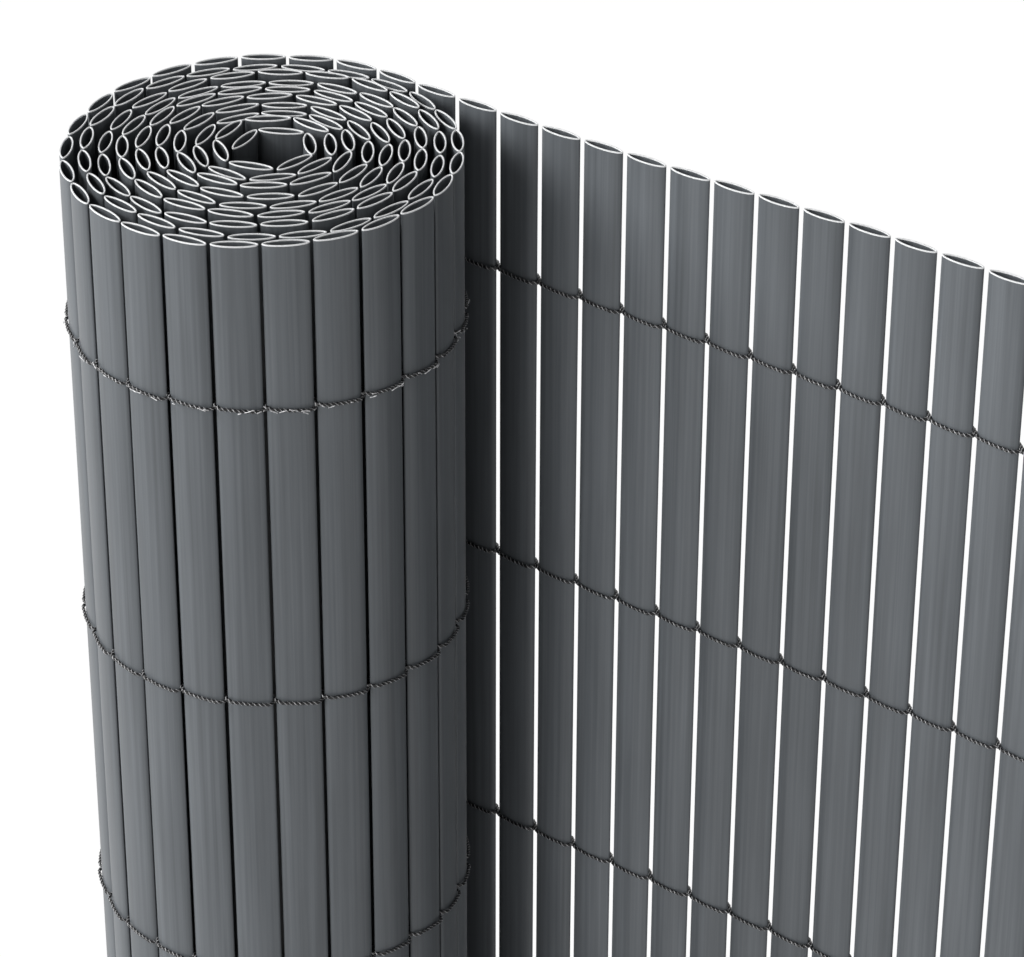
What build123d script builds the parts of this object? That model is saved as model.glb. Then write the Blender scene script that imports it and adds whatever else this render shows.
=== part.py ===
# Slatted privacy screen: hollow upright plastic slats tied side by side with cord. Most of its length
# is wound into a standing roll, and the rest runs off straight from the back of the roll.
# Millimetres, +Z up. The origin is at the centre of the footprint, on the floor.
import math
import os

from build123d import *

# Slat: an extruded tube of lens-shaped section, cut square and open at both ends
slat_height = 900.0
slat_width = 17.0
slat_thickness = 4.7
slat_crown_flat = 5.8
slat_edge = 0.9
slat_wall = 0.55

# Tie cords: level rows, evenly spaced between the top row and the bottom row
cord_rows = 7
cord_size = 1.2
cord_clearance = 0.05
row_margin = 66.5

# Straight run, from the back of the roll to its free end
run_slats = 15
run_gap = 1.9

# Roll, wound from its core outward. Each turn inward lies a little off centre from the turn around it,
# and the outermost slat turns back slightly before the run. Slats in one file: five, next to each other.
rolled_slats = 145
rolled_gap = 1.2
core_hole = 16.3
winding_slack = 0.2
core_shift_x = -0.15
core_shift_y = 0.42
wobble_degrees = 4.0
leave_degrees = 1.5
slats_per_file = 5

# Worked out from the sizes above. A slat that wobbles lifts one corner of its crown towards the cord.
run_spacing = slat_width + run_gap
roll_spacing = slat_width + rolled_gap
cord_depth = cord_size * math.sin(math.radians(60))
corner_lift = slat_crown_flat / 2 * math.sin(math.radians(wobble_degrees))
cord_seat = slat_thickness / 2 + corner_lift + cord_clearance
turn_shift = Vector(core_shift_x, core_shift_y)
layer = slat_thickness / 2 + cord_seat + cord_depth + winding_slack + turn_shift.length
core_radius = math.hypot((core_hole + slat_thickness) / 2, roll_spacing / 2)


def slat_profile():
    """Section across a slat: a hollow lens with three flats on each side and a narrow land at each edge."""
    half_width = slat_width / 2
    half_edge = slat_edge / 2
    half_flat = slat_crown_flat / 2
    crown = slat_thickness / 2
    front = [(-half_width, half_edge), (-half_flat, crown), (half_flat, crown), (half_width, half_edge)]
    back = [(x, -y) for x, y in reversed(front)]

    void_half_width = half_width - slat_wall
    void_crown = crown - slat_wall
    void_front = [(-void_half_width, 0), (-half_flat, void_crown), (half_flat, void_crown)]
    void_back = [(-x, -y) for x, y in void_front]
    skin = make_face(Polyline(*front, *back, close=True))
    return skin - make_face(Polyline(*void_front, *void_back, close=True))


def winding_point(angle):
    """Tie point of an evenly wound roll: the radius grows by one layer in each turn."""
    radius = core_radius + layer * angle / (2 * math.pi)
    return Vector(radius * math.cos(angle), -radius * math.sin(angle))


def next_angle(angle):
    """Winding angle of the next tie point, one spacing away in a straight line, found by halving."""
    here = winding_point(angle)
    low = angle
    high = angle + math.pi
    for _ in range(50):
        middle = (low + high) / 2
        if (winding_point(middle) - here).length < roll_spacing:
            low = middle
        else:
            high = middle
    return low


def winding_angles():
    """Winding angles of all tie points of the roll, from its core outward."""
    angles = [0.0]
    for _ in range(rolled_slats):
        angles.append(next_angle(angles[-1]))
    return angles


def tie_points(angles):
    """Tie points from the core to the free end of the run. The roll ends and the run begins at (0, 0)."""
    spiral = [winding_point(angle) for angle in angles]
    last_slat = spiral[-1] - spiral[-2]
    turn = -math.degrees(math.atan2(last_slat.Y, last_slat.X)) - leave_degrees
    rolled = []
    for angle, point in zip(angles, spiral):
        turns_inward = (angles[-1] - angle) / (2 * math.pi)
        rolled.append((point - spiral[-1]).rotate(Axis.Z, turn) + turn_shift * turns_inward)
    run = [Vector(run_spacing * (index + 1), 0) for index in range(run_slats)]
    return rolled + run


def slat_places(ties):
    """Place of each slat: midway between its tie points and along them, with a slight wobble in the roll."""
    places = []
    for index, (start, end) in enumerate(zip(ties, ties[1:])):
        direction = math.degrees(math.atan2(end.Y - start.Y, end.X - start.X))
        wobble = wobble_degrees * math.sin(2.4 * index) if index < rolled_slats else 0
        places.append(Location((start + end) / 2, (0, 0, direction + wobble)))
    return places


def inner_side(start, end):
    """Unit vector square to a slat, towards the inside of the roll."""
    along = (end - start).normalized()
    return Vector(along.Y, -along.X)


def cord_corners(ties):
    """Corners of a cord on the inner side of the slats: one straight stretch over each rolled slat, then
    one along the whole run."""
    bends = ties[: rolled_slats + 2]
    corners = [ties[0] + inner_side(ties[0], ties[1]) * cord_seat]
    for before, here, after in zip(bends, bends[1:], bends[2:]):
        side_before = inner_side(before, here)
        side_after = inner_side(here, after)
        mitre = (side_before + side_after) / (1 + side_before.dot(side_after))
        corners.append(here + mitre * cord_seat)
    corners.append(ties[-1] + inner_side(ties[-2], ties[-1]) * cord_seat)
    return corners


def tie_cord(ties):
    """One row of cord as a plain three-sided strand, with its flat side towards the slats."""
    corners = cord_corners(ties)
    side = inner_side(ties[0], ties[1])
    start = Plane(origin=corners[0], x_dir=side, z_dir=corners[1] - corners[0])
    strand = Polyline((0, -cord_size / 2), (cord_depth, 0), (0, cord_size / 2), close=True)
    return sweep(start * make_face(strand), path=Polyline(*corners), transition=Transition.RIGHT)


angles = winding_angles()
ties = tie_points(angles)
places = slat_places(ties)
slat = extrude(slat_profile(), slat_height)
slats = [place * slat for place in places]
rolled, run = slats[:rolled_slats], slats[rolled_slats:]

parts = {}
for number, piece in enumerate(run, start=1):
    parts[f"slat_{number:02d}"] = [piece]

# The rolled slats are counted from the outside of the roll inward
for index, piece in enumerate(reversed(rolled)):
    number = index // slats_per_file + 1
    parts.setdefault(f"roll_slats_{number:02d}", []).append(piece)

cord = tie_cord(ties)
row_spacing = (slat_height - 2 * row_margin) / (cord_rows - 1)
for row in range(cord_rows):
    height = slat_height - row_margin - row * row_spacing
    parts[f"tie_cord_row_{row + 1}"] = [Pos(0, 0, height) * cord]

whole = Compound([piece for pieces in parts.values() for piece in pieces])
footprint = whole.bounding_box().center()
to_origin = Pos(-footprint.X, -footprint.Y, 0)

os.makedirs("parts", exist_ok=True)
for name, pieces in sorted(parts.items()):
    solids = [solid for piece in pieces for solid in (to_origin * piece).solids()]
    export_step(solids[0] if len(solids) == 1 else Compound(solids), f"parts/{name}.step")
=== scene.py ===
import math
import random

import bpy
from mathutils import Matrix, Vector


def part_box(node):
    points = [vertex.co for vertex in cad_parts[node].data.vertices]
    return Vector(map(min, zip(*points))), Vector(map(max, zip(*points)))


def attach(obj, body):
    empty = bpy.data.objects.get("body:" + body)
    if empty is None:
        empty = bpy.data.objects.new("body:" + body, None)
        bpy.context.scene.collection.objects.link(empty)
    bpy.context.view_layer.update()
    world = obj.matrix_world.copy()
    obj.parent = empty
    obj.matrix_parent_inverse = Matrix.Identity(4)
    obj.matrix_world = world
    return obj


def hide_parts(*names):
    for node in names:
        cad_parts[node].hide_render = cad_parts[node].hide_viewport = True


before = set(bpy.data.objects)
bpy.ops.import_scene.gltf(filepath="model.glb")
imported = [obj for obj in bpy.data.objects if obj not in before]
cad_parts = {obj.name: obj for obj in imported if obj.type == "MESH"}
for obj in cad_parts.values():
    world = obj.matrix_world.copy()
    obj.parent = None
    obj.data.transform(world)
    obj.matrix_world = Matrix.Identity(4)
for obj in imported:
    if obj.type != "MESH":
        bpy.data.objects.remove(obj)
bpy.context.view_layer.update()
print("frame loaded:", len(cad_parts), "nodes")


# camera, fitted to the photograph
photoCamera = {
    "place": (0.75618, -1.06862, 1.61737),
    "yaw": -0.61641,  # radians, 0 looks along +Y
    "pitch": 0.55924,  # radians below the horizon
    "roll": 0.00331,
    "focalPixels": 4239.6,
    "pictureWidth": 1024,
    "sensorWidth": 36.0,
    "farthest": 30.0,
}


def addCamera(look):
    data = bpy.data.cameras.new("photoCamera")
    data.sensor_width = look["sensorWidth"]
    data.lens = look["focalPixels"] / look["pictureWidth"] * look["sensorWidth"]
    data.clip_end = look["farthest"]
    cameraObject = bpy.data.objects.new("photoCamera", data)
    bpy.context.scene.collection.objects.link(cameraObject)
    level = math.cos(look["pitch"])
    sinYaw, cosYaw = math.sin(look["yaw"]), math.cos(look["yaw"])
    forward = Vector((sinYaw * level, cosYaw * level, -math.sin(look["pitch"])))
    right = Vector((cosYaw, -sinYaw, 0.0))
    up = right.cross(forward)
    sinRoll, cosRoll = math.sin(look["roll"]), math.cos(look["roll"])
    turn = Matrix((right * cosRoll + up * sinRoll, up * cosRoll - right * sinRoll, -forward)).transposed()
    cameraObject.matrix_world = Matrix.Translation(look["place"]) @ turn.to_4x4()
    bpy.context.scene.camera = cameraObject


addCamera(photoCamera)
print("camera set")


# small helpers for materials
def newMaterial(name):
    material = bpy.data.materials.new(name)
    material.use_nodes = True
    tree = material.node_tree
    return material, tree, tree.nodes["Principled BSDF"]


def addNode(tree, kind, inputs=None, **settings):
    node = tree.nodes.new(kind)
    for name, value in settings.items():
        setattr(node, name, value)
    for name, value in (inputs or {}).items():
        node.inputs[name].default_value = value
    return node


def objectPlace(tree):
    return addNode(tree, "ShaderNodeTexCoord").outputs["Object"]


def split(tree, vector):
    parts = addNode(tree, "ShaderNodeSeparateXYZ")
    tree.links.new(vector, parts.inputs["Vector"])
    return parts.outputs


def stretchedNoise(tree, source, stretch, scale, detail):
    mapping = addNode(tree, "ShaderNodeMapping", {"Scale": stretch})
    tree.links.new(source, mapping.inputs["Vector"])
    noise = addNode(tree, "ShaderNodeTexNoise", {"Scale": scale, "Detail": detail, "Roughness": 0.55})
    tree.links.new(mapping.outputs["Vector"], noise.inputs["Vector"])
    return noise.outputs["Fac"]


def evenNoise(tree, scale):
    return stretchedNoise(tree, objectPlace(tree), (1.0, 1.0, 1.0), scale, 3.0)


def fromTo(tree, value, low, high, newLow, newHigh):
    limits = {"From Min": low, "From Max": high, "To Min": newLow, "To Max": newHigh}
    ranged = addNode(tree, "ShaderNodeMapRange", limits)
    tree.links.new(value, ranged.inputs["Value"])
    return ranged.outputs["Result"]


def around(tree, noise, middle, spread):  # most of a noise lies between 0.3 and 0.7
    return fromTo(tree, noise, 0.3, 0.7, middle - spread, middle + spread)


def combine(tree, first, second, operation):
    mathNode = addNode(tree, "ShaderNodeMath", operation=operation)
    for index, value in enumerate((first, second)):
        if isinstance(value, (int, float)):
            mathNode.inputs[index].default_value = value
        else:
            tree.links.new(value, mathNode.inputs[index])
    return mathNode.outputs[0]


def times(tree, first, second):
    return combine(tree, first, second, "MULTIPLY")


def setColour(tree, shader, colour, tone):
    tint = addNode(tree, "ShaderNodeVectorMath", operation="SCALE")
    tint.inputs[0].default_value = colour
    tree.links.new(tone, tint.inputs["Scale"])
    tree.links.new(tint.outputs["Vector"], shader.inputs["Base Color"])


def setSurface(tree, shader, look, noise, relief):  # uneven roughness and a fine bump
    roughness = around(tree, noise, look["roughness"], look["roughnessSpread"])
    tree.links.new(roughness, shader.inputs["Roughness"])
    bump = addNode(tree, "ShaderNodeBump", {"Strength": look["bump"], "Distance": look["bumpDepth"]})
    tree.links.new(relief, bump.inputs["Height"])
    tree.links.new(bump.outputs["Normal"], shader.inputs["Normal"])


# extruded plastic of the slats
slatPlastic = {
    "colour": (0.122, 0.133, 0.144),
    "paintedShadeDeep": 0.26,  # painted shade: deep inside the roll the slats of the inner turns keep this much of their colour
    "paintedShadeNearEnds": 0.74,  # and near their ends, where the painted shade is lighter, this much
    "shadeHeight": (0.84, 0.895),  # between these heights the painted shade fades from one into the other
    "slatContrast": 0.06,  # from one slat to the next
    "lineScale": 1700.0,  # fine lengthwise extrusion lines
    "lineContrast": 0.05,
    "bandScale": 520.0,  # broader bands, about 2 mm
    "bandContrast": 0.15,
    "cloudScale": 110.0,  # soft patches
    "cloudContrast": 0.08,
    "roughness": 0.42,
    "roughnessSpread": 0.06,
    "shine": 0.34,
    "bump": 0.4,
    "bumpDepth": 0.00005,
}


def makeSlatPlastic(look):
    material, tree, shader = newMaterial("slatPlastic")
    place = objectPlace(tree)
    lines = stretchedNoise(tree, place, (1.0, 1.0, 0.005), look["lineScale"], 2.0)
    bands = stretchedNoise(tree, place, (1.0, 1.0, 0.012), look["bandScale"], 2.0)
    clouds = stretchedNoise(tree, place, (1.0, 1.0, 0.12), look["cloudScale"], 3.0)
    tone = around(tree, lines, 1, look["lineContrast"])
    tone = times(tree, tone, around(tree, bands, 1, look["bandContrast"]))
    tone = times(tree, tone, around(tree, clouds, 1, look["cloudContrast"]))
    # the slat's own tone, and then painted shade that darkens the turns inside the roll, most of all well
    # below their ends
    ownTone = split(tree, addNode(tree, "ShaderNodeUVMap", uv_map="ownTone").outputs["UV"])
    contrast = look["slatContrast"]
    tone = times(tree, tone, fromTo(tree, ownTone["X"], 0.0, 1.0, 1 - contrast, 1 + contrast))
    height = split(tree, place)["Z"]
    paintedShade = fromTo(tree, height, *look["shadeHeight"], 1 - look["paintedShadeDeep"], 1 - look["paintedShadeNearEnds"])
    paintedShade = times(tree, ownTone["Y"], paintedShade)
    tone = times(tree, tone, combine(tree, 1.0, paintedShade, "SUBTRACT"))
    setColour(tree, shader, look["colour"], tone)
    setSurface(tree, shader, look, bands, combine(tree, lines, bands, "ADD"))
    shader.inputs["Specular IOR Level"].default_value = look["shine"]
    return material


# cut ends of the slats, paler than the plastic: partly the cut face's own colour, partly a painted highlight
# on the rims
cutEnd = {
    "colour": (0.91, 0.92, 0.93),
    "contrast": 0.12,
    "grainScale": 1400.0,
    "roughness": 0.5,
    "roughnessSpread": 0.08,
    "bump": 0.3,
    "bumpDepth": 0.00004,
}

# loose threads in the top row, coloured pale as a painted glint
strayThreadGlint = {
    "colour": (0.78, 0.78, 0.79),
    "contrast": 0.25,
    "grainScale": 700.0,
    "roughness": 0.3,
    "roughnessSpread": 0.1,
    "bump": 0.4,
    "bumpDepth": 0.00005,
}


def makeGrained(name, look):
    material, tree, shader = newMaterial(name)
    grain = evenNoise(tree, look["grainScale"])
    setColour(tree, shader, look["colour"], around(tree, grain, 1, look["contrast"]))
    setSurface(tree, shader, look, grain, grain)
    return material


# twisted cord
cordFibre = {
    "colour": (0.009, 0.009, 0.010),
    "crestGlintColour": (0.80, 0.80, 0.81),  # painted glints on the crests of the twist
    "crestEdge": 0.62,  # nearer to 1 makes the painted glint lines narrower
    "glintAmount": (0.3, 1.0),  # how strongly a crest takes the painted glint, from the least to the most
    "fibreScale": 900.0,
    "roughness": 0.32,
    "roughnessSpread": 0.1,
    "shine": 0.35,
    "bump": 0.5,
    "bumpDepth": 0.00006,
}


def makeCordFibre(look):
    material, tree, shader = newMaterial("cordFibre")
    fibres = evenNoise(tree, look["fibreScale"])
    aroundCord = split(tree, addNode(tree, "ShaderNodeUVMap", uv_map="twist").outputs["UV"])["X"]
    crestGlint = combine(tree, times(tree, aroundCord, 4 * math.pi), 0.0, "COSINE")  # two crests around the cord, where the glints are painted
    crestGlint = fromTo(tree, crestGlint, look["crestEdge"], 1.0, 0.0, 1.0)
    crestGlint = times(tree, crestGlint, fromTo(tree, fibres, 0.38, 0.62, *look["glintAmount"]))
    blend = addNode(tree, "ShaderNodeMix", data_type="RGBA")
    blend.inputs["A"].default_value = (*look["colour"], 1)
    blend.inputs["B"].default_value = (*look["crestGlintColour"], 1)
    tree.links.new(crestGlint, blend.inputs["Factor"])
    tree.links.new(blend.outputs["Result"], shader.inputs["Base Color"])
    setSurface(tree, shader, look, fibres, fibres)
    shader.inputs["Specular IOR Level"].default_value = look["shine"]
    return material


plastic = makeSlatPlastic(slatPlastic)
rim = makeGrained("cutEnd", cutEnd)
fibre = makeCordFibre(cordFibre)
strayGlint = makeGrained("strayThreadGlint", strayThreadGlint)
print("materials made")


# hollow slats
slatForm = {
    "width": 0.017,
    "thickness": 0.0047,
    "fullness": 0.55,  # 0.5 is an ellipse, and more makes the edges sharper
    "wall": 0.00055,
    "bevel": 0.00010,
    "edgeHighlight": 0.00045,  # a painted highlight on the cut edges runs this far down the walls
    "points": 40,
    "unevenEnds": 0.0016,  # how far the cut ends differ in height
    "outermostTurn": 27,  # slats in the outermost turn of the roll
}


# where the solids stand, read from the frame
def looseOutlines(node):  # one set of plan points for each separate slat in a node
    mesh = node.data
    spots = [tuple(round(c * 1e6) for c in v.co) for v in mesh.vertices]
    leader = {spot: spot for spot in spots}

    def top(spot):
        while leader[spot] != spot:
            leader[spot] = leader[leader[spot]]
            spot = leader[spot]
        return spot

    for edge in mesh.edges:
        leader[top(spots[edge.vertices[0]])] = top(spots[edge.vertices[1]])
    groups = {}
    for spot in leader:
        groups.setdefault(top(spot), set()).add((spot[0] / 1e6, spot[1] / 1e6))
    return [sorted(points) for _, points in sorted(groups.items())]


def readSlat(points, nodeName):  # the slat lies along the longer axis of its plan points
    centre = Vector((sum(p[0] for p in points), sum(p[1] for p in points))) / len(points)
    xx = sum((p[0] - centre.x) ** 2 for p in points)
    yy = sum((p[1] - centre.y) ** 2 for p in points)
    xy = sum((p[0] - centre.x) * (p[1] - centre.y) for p in points)
    heading = 0.5 * math.atan2(2 * xy, xx - yy)
    return {"centre": centre, "along": Vector((math.cos(heading), math.sin(heading))), "node": nodeName}


def nearestSlat(waiting, last, halfWidth):  # the slat that comes next, turned to lead on from the last
    edge = last["centre"] + last["along"] * halfWidth
    _, index, way = min(
        ((slat["centre"] - slat["along"] * sign * halfWidth - edge).length, index, sign)
        for index, slat in enumerate(waiting) for sign in (1, -1))
    slat = waiting.pop(index)
    slat["along"] = slat["along"] * way
    return slat


def readChain(form):  # slats from the free end of the run to the core of the roll
    chain = []
    for name in sorted((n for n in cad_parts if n.startswith("slat_")), reverse=True):
        slat = readSlat(looseOutlines(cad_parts[name])[0], name)
        if slat["along"].x > 0:
            slat["along"] = -slat["along"]
        chain.append(slat)
    runCount = len(chain)
    for name in sorted(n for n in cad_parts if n.startswith("roll_slats_")):
        waiting = [readSlat(points, name) for points in looseOutlines(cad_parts[name])]
        while waiting:
            chain.append(nearestSlat(waiting, chain[-1], form["width"] / 2))
    for index, slat in enumerate(chain):
        slat["outward"] = Vector((slat["along"].y, -slat["along"].x))
        # slats inside the outermost turn are marked to get painted shade in their colour
        slat["shaded"] = 1.0 if index >= runCount + form["outermostTurn"] else 0.0
    return chain, runCount


def lensHalf(form, x):  # half thickness of the slat at x from its middle
    share = min(abs(x) / (form["width"] / 2), 1.0)
    return form["thickness"] / 2 * (1 - share ** 2) ** form["fullness"]


def lensPoint(form, turn):
    x = form["width"] / 2 * math.cos(turn)
    return Vector((x, math.copysign(lensHalf(form, x), math.sin(turn))))


def lensRing(form, inset):
    ring = []
    for step in range(form["points"]):
        turn = (step + 0.5) / form["points"] * 2 * math.pi
        ahead = lensPoint(form, turn + 0.02) - lensPoint(form, turn - 0.02)
        normal = Vector((ahead.y, -ahead.x)).normalized()
        ring.append(lensPoint(form, turn) - normal * inset)
    return ring


def addSlat(verts, faces, slotsOfFaces, tones, slat, number, height, form, rings):
    # sines of odd steps give each slat a height and a tone of its own
    lift = form["unevenEnds"] * math.sin(number * 12.9898) * 0.5
    ownTone = 0.5 + 0.5 * math.sin(number * 7.13 + 0.6)
    bevel, highlightDepth = form["bevel"], form["edgeHighlight"]
    # up the outside, over the cut end, down the hollow and back under the lower end
    levels = [("outer", highlightDepth), ("outer", height - highlightDepth), ("outer", height - bevel), ("outerCut", height),
              ("innerCut", height), ("inner", height - bevel), ("inner", height - highlightDepth), ("inner", highlightDepth),
              ("inner", bevel), ("innerCut", 0.0), ("outerCut", 0.0), ("outer", bevel)]
    longWalls = (0, 6)  # plain plastic, and the rest takes the pale cut-end colour with its painted highlight
    first = len(verts)
    count = len(rings["outer"])
    for ringName, z in levels:
        rise = lift if z > height / 2 else abs(lift)
        for point in rings[ringName]:
            flat = slat["centre"] + slat["along"] * point.x + slat["outward"] * point.y
            verts.append((flat.x, flat.y, z + rise))
    for level in range(len(levels)):
        nextLevel = (level + 1) % len(levels)
        for step in range(count):
            nextStep = (step + 1) % count
            faces.append((first + level * count + step, first + level * count + nextStep,
                          first + nextLevel * count + nextStep, first + nextLevel * count + step))
            slotsOfFaces.append(0 if level in longWalls else 1)
            tones.append((ownTone, slat["shaded"]))


def buildSlats(chain, height, form):
    rings = {
        "outer": lensRing(form, 0.0),
        "outerCut": lensRing(form, form["bevel"]),
        "innerCut": lensRing(form, form["wall"] - form["bevel"]),
        "inner": lensRing(form, form["wall"]),
    }
    byNode = {}
    for number, slat in enumerate(chain):
        byNode.setdefault(slat["node"], []).append((number, slat))
    for nodeName, members in byNode.items():
        verts, faces, slotsOfFaces, tones = [], [], [], []
        for number, slat in members:
            addSlat(verts, faces, slotsOfFaces, tones, slat, number, height, form, rings)
        mesh = bpy.data.meshes.new("hollow_" + nodeName)
        mesh.from_pydata(verts, [], faces)
        mesh.materials.append(plastic)
        mesh.materials.append(rim)
        # u holds each slat's own tone, and v marks the slats that get painted shade
        layer = mesh.uv_layers.new(name="ownTone")
        for polygon, slotIndex, tone in zip(mesh.polygons, slotsOfFaces, tones):
            polygon.material_index = slotIndex
            polygon.use_smooth = True
            for loop in polygon.loop_indices:
                layer.data[loop].uv = tone
        mesh.set_sharp_from_angle(angle=math.radians(35))
        mesh.validate()
        slatObject = bpy.data.objects.new("hollow_" + nodeName, mesh)
        bpy.context.scene.collection.objects.link(slatObject)
        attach(slatObject, "root")
        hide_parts(nodeName)


chain, runCount = readChain(slatForm)
print("chain read:", runCount, "slats in the run,", len(chain) - runCount, "in the roll")
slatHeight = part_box("slat_01")[1][2]
buildSlats(chain, slatHeight, slatForm)
print("slats built")


# tie cords: two twisted cords a row, weaving and crossing in every gap
cordForm = {
    "radius": 0.00075,
    "hiddenRadius": 0.00042,  # between the turns of the roll
    "crossing": 1.3,  # the cords swell this much where they cross
    "sway": 0.0006,  # half the drop from one gap to the next
    "seats": (-0.82, -0.45, 0.0, 0.45, 0.82),  # points over a slat, as shares of half its width
    "seatDepth": 0.37,  # the least distance from a slat's middle plane, as a share of its thickness
    "press": 0.95,  # below 1 the cord presses into the slat a little
    "halfGap": 0.0009,  # from a slat's edge to the crossing in the gap
    "pathShare": 1.1,  # the way over a slat against the slat's width
    "fineStep": 0.0003,  # from ring to ring where the cord shows
    "coarseStep": 0.0018,  # and where it is hidden in the roll
    "sides": 6,
    "lobe": 0.40,  # depth of the twist
    "pitch": 0.0019,
    "secondCord": 1.3,  # how far the second cord's twist is turned against the first's, in radians
    "endReach": 0.0012,  # from the last slat's edge to the end knot
    "knotSize": 0.0004,
    "knotCord": 0.8,  # the cord is drawn thinner in the knot
    "tailLength": 0.011,
    "tailLean": 0.35,  # how far a tail leads away, as a share of its length
    "tailWave": 0.0012,
}

# short loose threads along the outermost turn of one row
strayForm = {
    "row": "tie_cord_row_1",
    "count": 80,
    "seed": 7,  # another number places them anew
    "length": (0.0012, 0.0034),
    "radius": 0.00022,
    "away": (0.0001, 0.0007),  # outward from the cord
    "rise": (-0.0008, 0.0008),
    "wave": (0.0003, 0.0009),
    "sink": 0.6,  # outward is counted from this share of the cord's radius
}


def stepsInStretch(form, stepLength):  # a cord's way over a slat has one stretch more than seats
    stretch = slatForm["width"] * form["pathShare"] / (len(form["seats"]) + 1)
    return max(1, round(stretch / stepLength))


def smoothLine(points, counts):  # Catmull-Rom through the points
    line = []
    for index in range(len(points) - 1):
        before = points[max(index - 1, 0)]
        start, end = points[index], points[index + 1]
        after = points[min(index + 2, len(points) - 1)]
        for step in range(counts[index]):
            t = step / counts[index]
            line.append(((before * -1 + start * 3 - end * 3 + after) * t ** 3
                         + (before * 2 - start * 5 + end * 4 - after) * t ** 2
                         + (end - before) * t + start * 2) * 0.5)
    line.append(points[-1].copy())
    return line


def cordLine(chain, runCount, rowHeight, form, first):
    points, counts, thick = [], [], []
    overhang = slatForm["width"] / 2 + form["halfGap"]
    for index, slat in enumerate(chain):
        shows = index < runCount + slatForm["outermostTurn"]
        outside = (index + first) % 2 == 1
        side = 1 if outside else -1
        wide = form["radius"] if index < runCount or (shows and outside) else form["hiddenRadius"]
        start = slat["centre"] - slat["along"] * overhang
        if index:
            before = chain[index - 1]
            start = (start + before["centre"] + before["along"] * overhang) / 2
        drop = form["sway"] * side
        points.append(Vector((start.x, start.y, rowHeight + drop)))
        thick.append(wide * form["crossing"])
        for seat in form["seats"]:
            across = seat * slatForm["width"] / 2
            depth = max(lensHalf(slatForm, across), slatForm["thickness"] * form["seatDepth"])
            away = side * (depth + wide * form["press"])
            place = slat["centre"] + slat["along"] * across + slat["outward"] * away
            points.append(Vector((place.x, place.y, rowHeight - drop * seat)))
            thick.append(wide)
        stepLength = form["fineStep"] if shows else form["coarseStep"]
        counts += [stepsInStretch(form, stepLength)] * (len(form["seats"]) + 1)
    last = chain[-1]
    end = last["centre"] + last["along"] * overhang
    points.append(Vector((end.x, end.y, rowHeight)))
    thick.append(form["hiddenRadius"])
    line = smoothLine(points, counts)
    widths = []
    for index, count in enumerate(counts):
        change = thick[index + 1] - thick[index]
        widths += [thick[index] + change * step / count for step in range(count)]
    widths.append(thick[-1])
    return line, widths


def addTwist(strand, line, widths, form, phase, slot=0):  # a two-lobed section that turns along the line
    sides = form["sides"]
    first = len(strand["verts"])
    travelled = 0.0
    turns = []
    for index, point in enumerate(line):
        ahead = line[min(index + 1, len(line) - 1)] - line[max(index - 1, 0)]
        ahead.normalize()
        sideways = ahead.cross(Vector((0, 0.02, 1))).normalized()  # not quite upright, for a cord that hangs
        upward = sideways.cross(ahead)
        if index:
            travelled += (point - line[index - 1]).length
        turns.append(phase - travelled / form["pitch"] * math.pi)
        for corner in range(sides):
            angle = corner / sides * 2 * math.pi
            reach = widths[index] * (1 - form["lobe"] * math.sin(angle - turns[-1]) ** 2)
            strand["verts"].append(point + sideways * math.cos(angle) * reach
                                   + upward * math.sin(angle) * reach)
    for ring in range(len(line) - 1):
        for corner in range(sides):
            corners = ((ring, corner), (ring, corner + 1), (ring + 1, corner + 1), (ring + 1, corner))
            strand["faces"].append(tuple(first + step * sides + side % sides for step, side in corners))
            strand["slots"].append(slot)
            for step, side in corners:
                strand["uvs"] += (side / sides - turns[step] / (2 * math.pi), step * 0.1)
    for cap in (range(sides - 1, -1, -1), range((len(line) - 1) * sides, len(line) * sides)):
        strand["faces"].append(tuple(first + corner for corner in cap))
        strand["slots"].append(slot)
        strand["uvs"] += (0.25, 0.0) * sides


def addKnot(strand, place, form, phase):  # a trefoil
    steps = 48
    line = []
    for step in range(steps + 1):
        turn = step / steps * 2 * math.pi + phase
        across = math.sin(turn) + 2 * math.sin(2 * turn)
        deep = -math.sin(3 * turn) * 1.2
        high = math.cos(turn) - 2 * math.cos(2 * turn)
        line.append(place + Vector((across, deep, high)) * form["knotSize"])
    addTwist(strand, line, [form["radius"] * form["knotCord"]] * len(line), form, phase)


def addTail(strand, place, away, form, phase):
    length = form["tailLength"]
    count = round(length / form["fineStep"])
    line, widths = [], []
    for step in range(count + 1):
        share = step / count
        lean = math.sin(share * 2.2 + phase) * form["tailWave"]
        drop = length * share ** 1.3
        line.append(place + away * length * form["tailLean"] * share + Vector((lean, lean * 0.5, -drop)))
        widths.append(form["radius"] * (0.75 + 0.2 * share))  # frays a little towards its end
    addTwist(strand, line, widths, form, phase)


def addStrays(strand, line, centre, form, loose):
    chance = random.Random(loose["seed"])
    for _ in range(loose["count"]):
        start = chance.randint(0, len(line) - 1)
        count = round(chance.uniform(*loose["length"]) / form["fineStep"])
        away = chance.uniform(*loose["away"])
        rise = chance.uniform(*loose["rise"])
        wave = chance.uniform(*loose["wave"])
        thread = []
        for step, point in enumerate(line[start:start + count]):
            outward = (point - centre) * Vector((1, 1, 0))
            outward.normalize()
            lift = max(away + wave * 0.5 * math.sin(step * 0.4 + start), 0.0)
            height = rise + wave * math.sin(step * 0.3 + start)
            thread.append(point + outward * (form["radius"] * loose["sink"] + lift) + Vector((0, 0, height)))
        if len(thread) > 3:
            addTwist(strand, thread, [loose["radius"]] * len(thread), form, start, 1)


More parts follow.
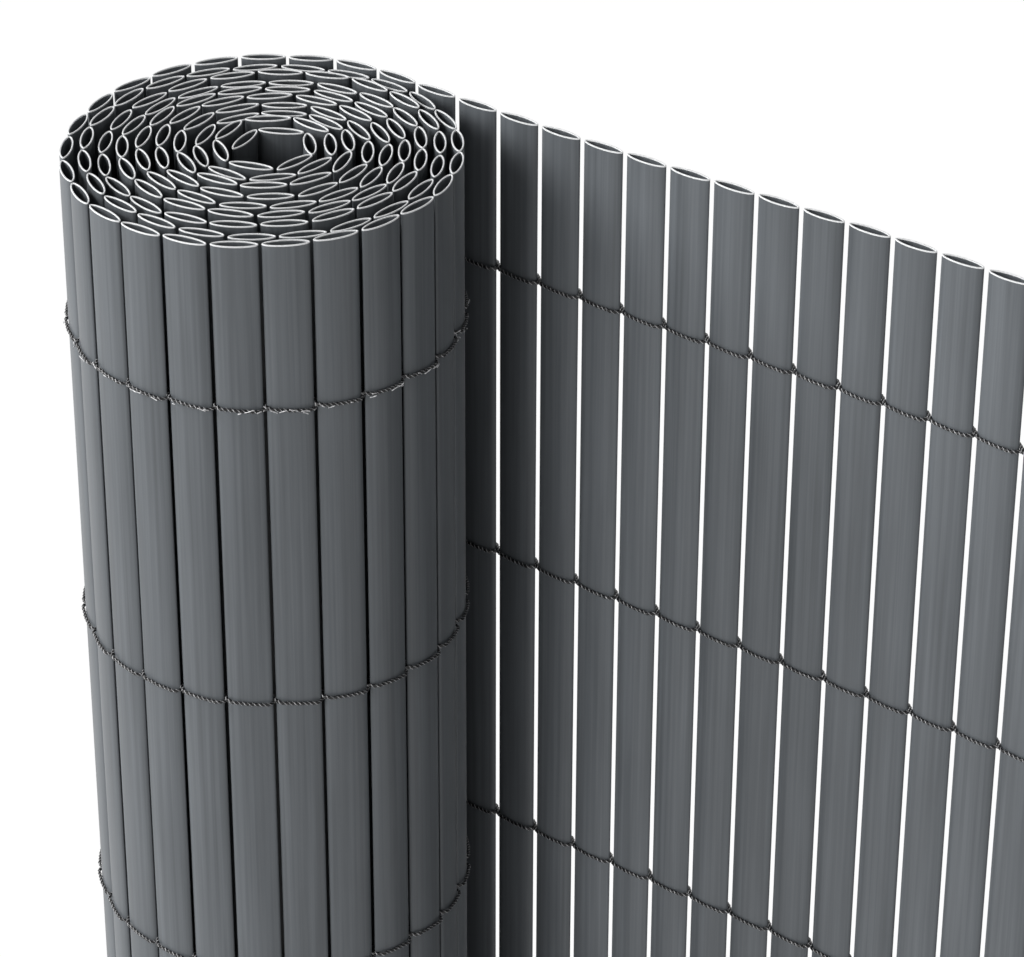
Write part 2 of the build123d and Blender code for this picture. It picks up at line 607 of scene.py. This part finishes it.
def buildCords(chain, runCount, form, loose):
    rolled = chain[runCount:]
    centre = sum((slat["centre"] for slat in rolled), Vector((0, 0))) / len(rolled)
    reach = slatForm["width"] / 2 + form["endReach"]
    freeEnd = chain[0]["centre"] - chain[0]["along"] * reach
    core = chain[-1]["centre"] + chain[-1]["along"] * reach
    perSlat = (len(form["seats"]) + 1) * stepsInStretch(form, form["fineStep"])
    turnStart, turnEnd = runCount * perSlat, (runCount + slatForm["outermostTurn"]) * perSlat
    for nodeName in sorted(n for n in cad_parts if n.startswith("tie_cord_row_")):
        low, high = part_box(nodeName)
        rowHeight = (low[2] + high[2]) / 2
        strand = {"verts": [], "faces": [], "slots": [], "uvs": []}
        for first in (0, 1):
            line, widths = cordLine(chain, runCount, rowHeight, form, first)
            addTwist(strand, line, widths, form, first * form["secondCord"])
            if nodeName == loose["row"]:
                addStrays(strand, line[turnStart:turnEnd], centre.to_3d(), form, loose)
        away = -chain[0]["along"].to_3d()
        for place, lean in ((freeEnd, away), (core, away * 0.2)):
            knot = Vector((place.x, place.y, rowHeight))
            addKnot(strand, knot, form, 0.4)
            addTail(strand, knot, lean, form, 0.0)
            addTail(strand, knot, lean * 0.4, form, 2.0)
        mesh = bpy.data.meshes.new("woven_" + nodeName)
        mesh.from_pydata(strand["verts"], [], strand["faces"])
        mesh.materials.append(fibre)
        mesh.materials.append(strayGlint)
        mesh.uv_layers.new(name="twist").data.foreach_set("uv", strand["uvs"])
        mesh.polygons.foreach_set("use_smooth", [True] * len(mesh.polygons))
        mesh.polygons.foreach_set("material_index", strand["slots"])
        cordObject = bpy.data.objects.new("woven_" + nodeName, mesh)
        bpy.context.scene.collection.objects.link(cordObject)
        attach(cordObject, "root")
        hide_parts(nodeName)


buildCords(chain, runCount, cordForm, strayForm)
print("cords woven")


# floor, light and background
studio = {
    "floorColour": (0.85, 0.85, 0.85),
    "floorRoughness": 0.9,
    "floorReach": 12.0,
    "floorWhite": 1.03,
    "shadowShare": 0.25,  # how much of the floor's own shading shows against the white near the screen
    "farShare": 0.04,  # and far from it
    "shadowReach": (0.28, 0.65),  # between these distances one fades into the other
    "worldStrength": 0.20,
    "lampAim": (0, 0, 0.6),
    "keyPower": 60.0,
    "keyPlace": (-2.1, -1.2, 2.2),
    "keySize": 1.4,
    "fillPower": 45.0,
    "fillPlace": (-0.35, -2.8, 1.9),
    "fillSize": 1.8,
}


def whiteWhereSeen(tree, lit, surface, kind, strength, whiteShare):  # plain white when seen or mirrored
    path = addNode(tree, "ShaderNodeLightPath")
    seen = combine(tree, path.outputs["Is Camera Ray"], path.outputs["Is Glossy Ray"], "MAXIMUM")
    seen = combine(tree, seen, path.outputs["Is Transmission Ray"], "MAXIMUM")
    white = addNode(tree, kind, {"Color": (1, 1, 1, 1), "Strength": strength})
    blend = addNode(tree, "ShaderNodeMixShader")
    tree.links.new(times(tree, seen, whiteShare), blend.inputs["Fac"])
    tree.links.new(lit, blend.inputs[1])
    tree.links.new(white.outputs[0], blend.inputs[2])
    tree.links.new(blend.outputs["Shader"], surface)


def addFloor(look):
    mesh = bpy.data.meshes.new("floor")
    reach = look["floorReach"]
    corners = [(-reach, -reach, 0), (reach, -reach, 0), (reach, reach, 0), (-reach, reach, 0)]
    mesh.from_pydata(corners, [], [(0, 1, 2, 3)])
    floor = bpy.data.objects.new("floor", mesh)
    bpy.context.scene.collection.objects.link(floor)
    material, tree, shader = newMaterial("floorPaper")
    shader.inputs["Base Color"].default_value = (*look["floorColour"], 1)
    shader.inputs["Roughness"].default_value = look["floorRoughness"]
    distance = addNode(tree, "ShaderNodeVectorMath", operation="LENGTH")
    tree.links.new(objectPlace(tree), distance.inputs[0])
    nearWhite, farWhite = 1 - look["shadowShare"], 1 - look["farShare"]
    whiteShare = fromTo(tree, distance.outputs["Value"], *look["shadowReach"], nearWhite, farWhite)
    whiteWhereSeen(tree, shader.outputs["BSDF"], tree.nodes["Material Output"].inputs["Surface"],
                   "ShaderNodeEmission", look["floorWhite"], whiteShare)
    mesh.materials.append(material)


def addWorld(look):
    world = bpy.data.worlds.new("studioWorld")
    bpy.context.scene.world = world
    world.use_nodes = True
    tree = world.node_tree
    background = tree.nodes["Background"]
    background.inputs["Color"].default_value = (1, 1, 1, 1)
    background.inputs["Strength"].default_value = look["worldStrength"]
    whiteWhereSeen(tree, background.outputs["Background"], tree.nodes["World Output"].inputs["Surface"],
                   "ShaderNodeBackground", 1.0, 1.0)


def addLamp(name, place, aim, power, size):
    data = bpy.data.lights.new(name, "AREA")
    data.energy = power
    data.shape = "DISK"
    data.size = size
    lamp = bpy.data.objects.new(name, data)
    bpy.context.scene.collection.objects.link(lamp)
    lamp.location = place
    lamp.rotation_euler = (Vector(aim) - Vector(place)).to_track_quat("-Z", "Y").to_euler()


addFloor(studio)
addWorld(studio)
for lampName in ("key", "fill"):
    addLamp(lampName + "Lamp", studio[lampName + "Place"], studio["lampAim"],
            studio[lampName + "Power"], studio[lampName + "Size"])
bpy.context.scene.view_settings.view_transform = "Standard"
print("studio lit")
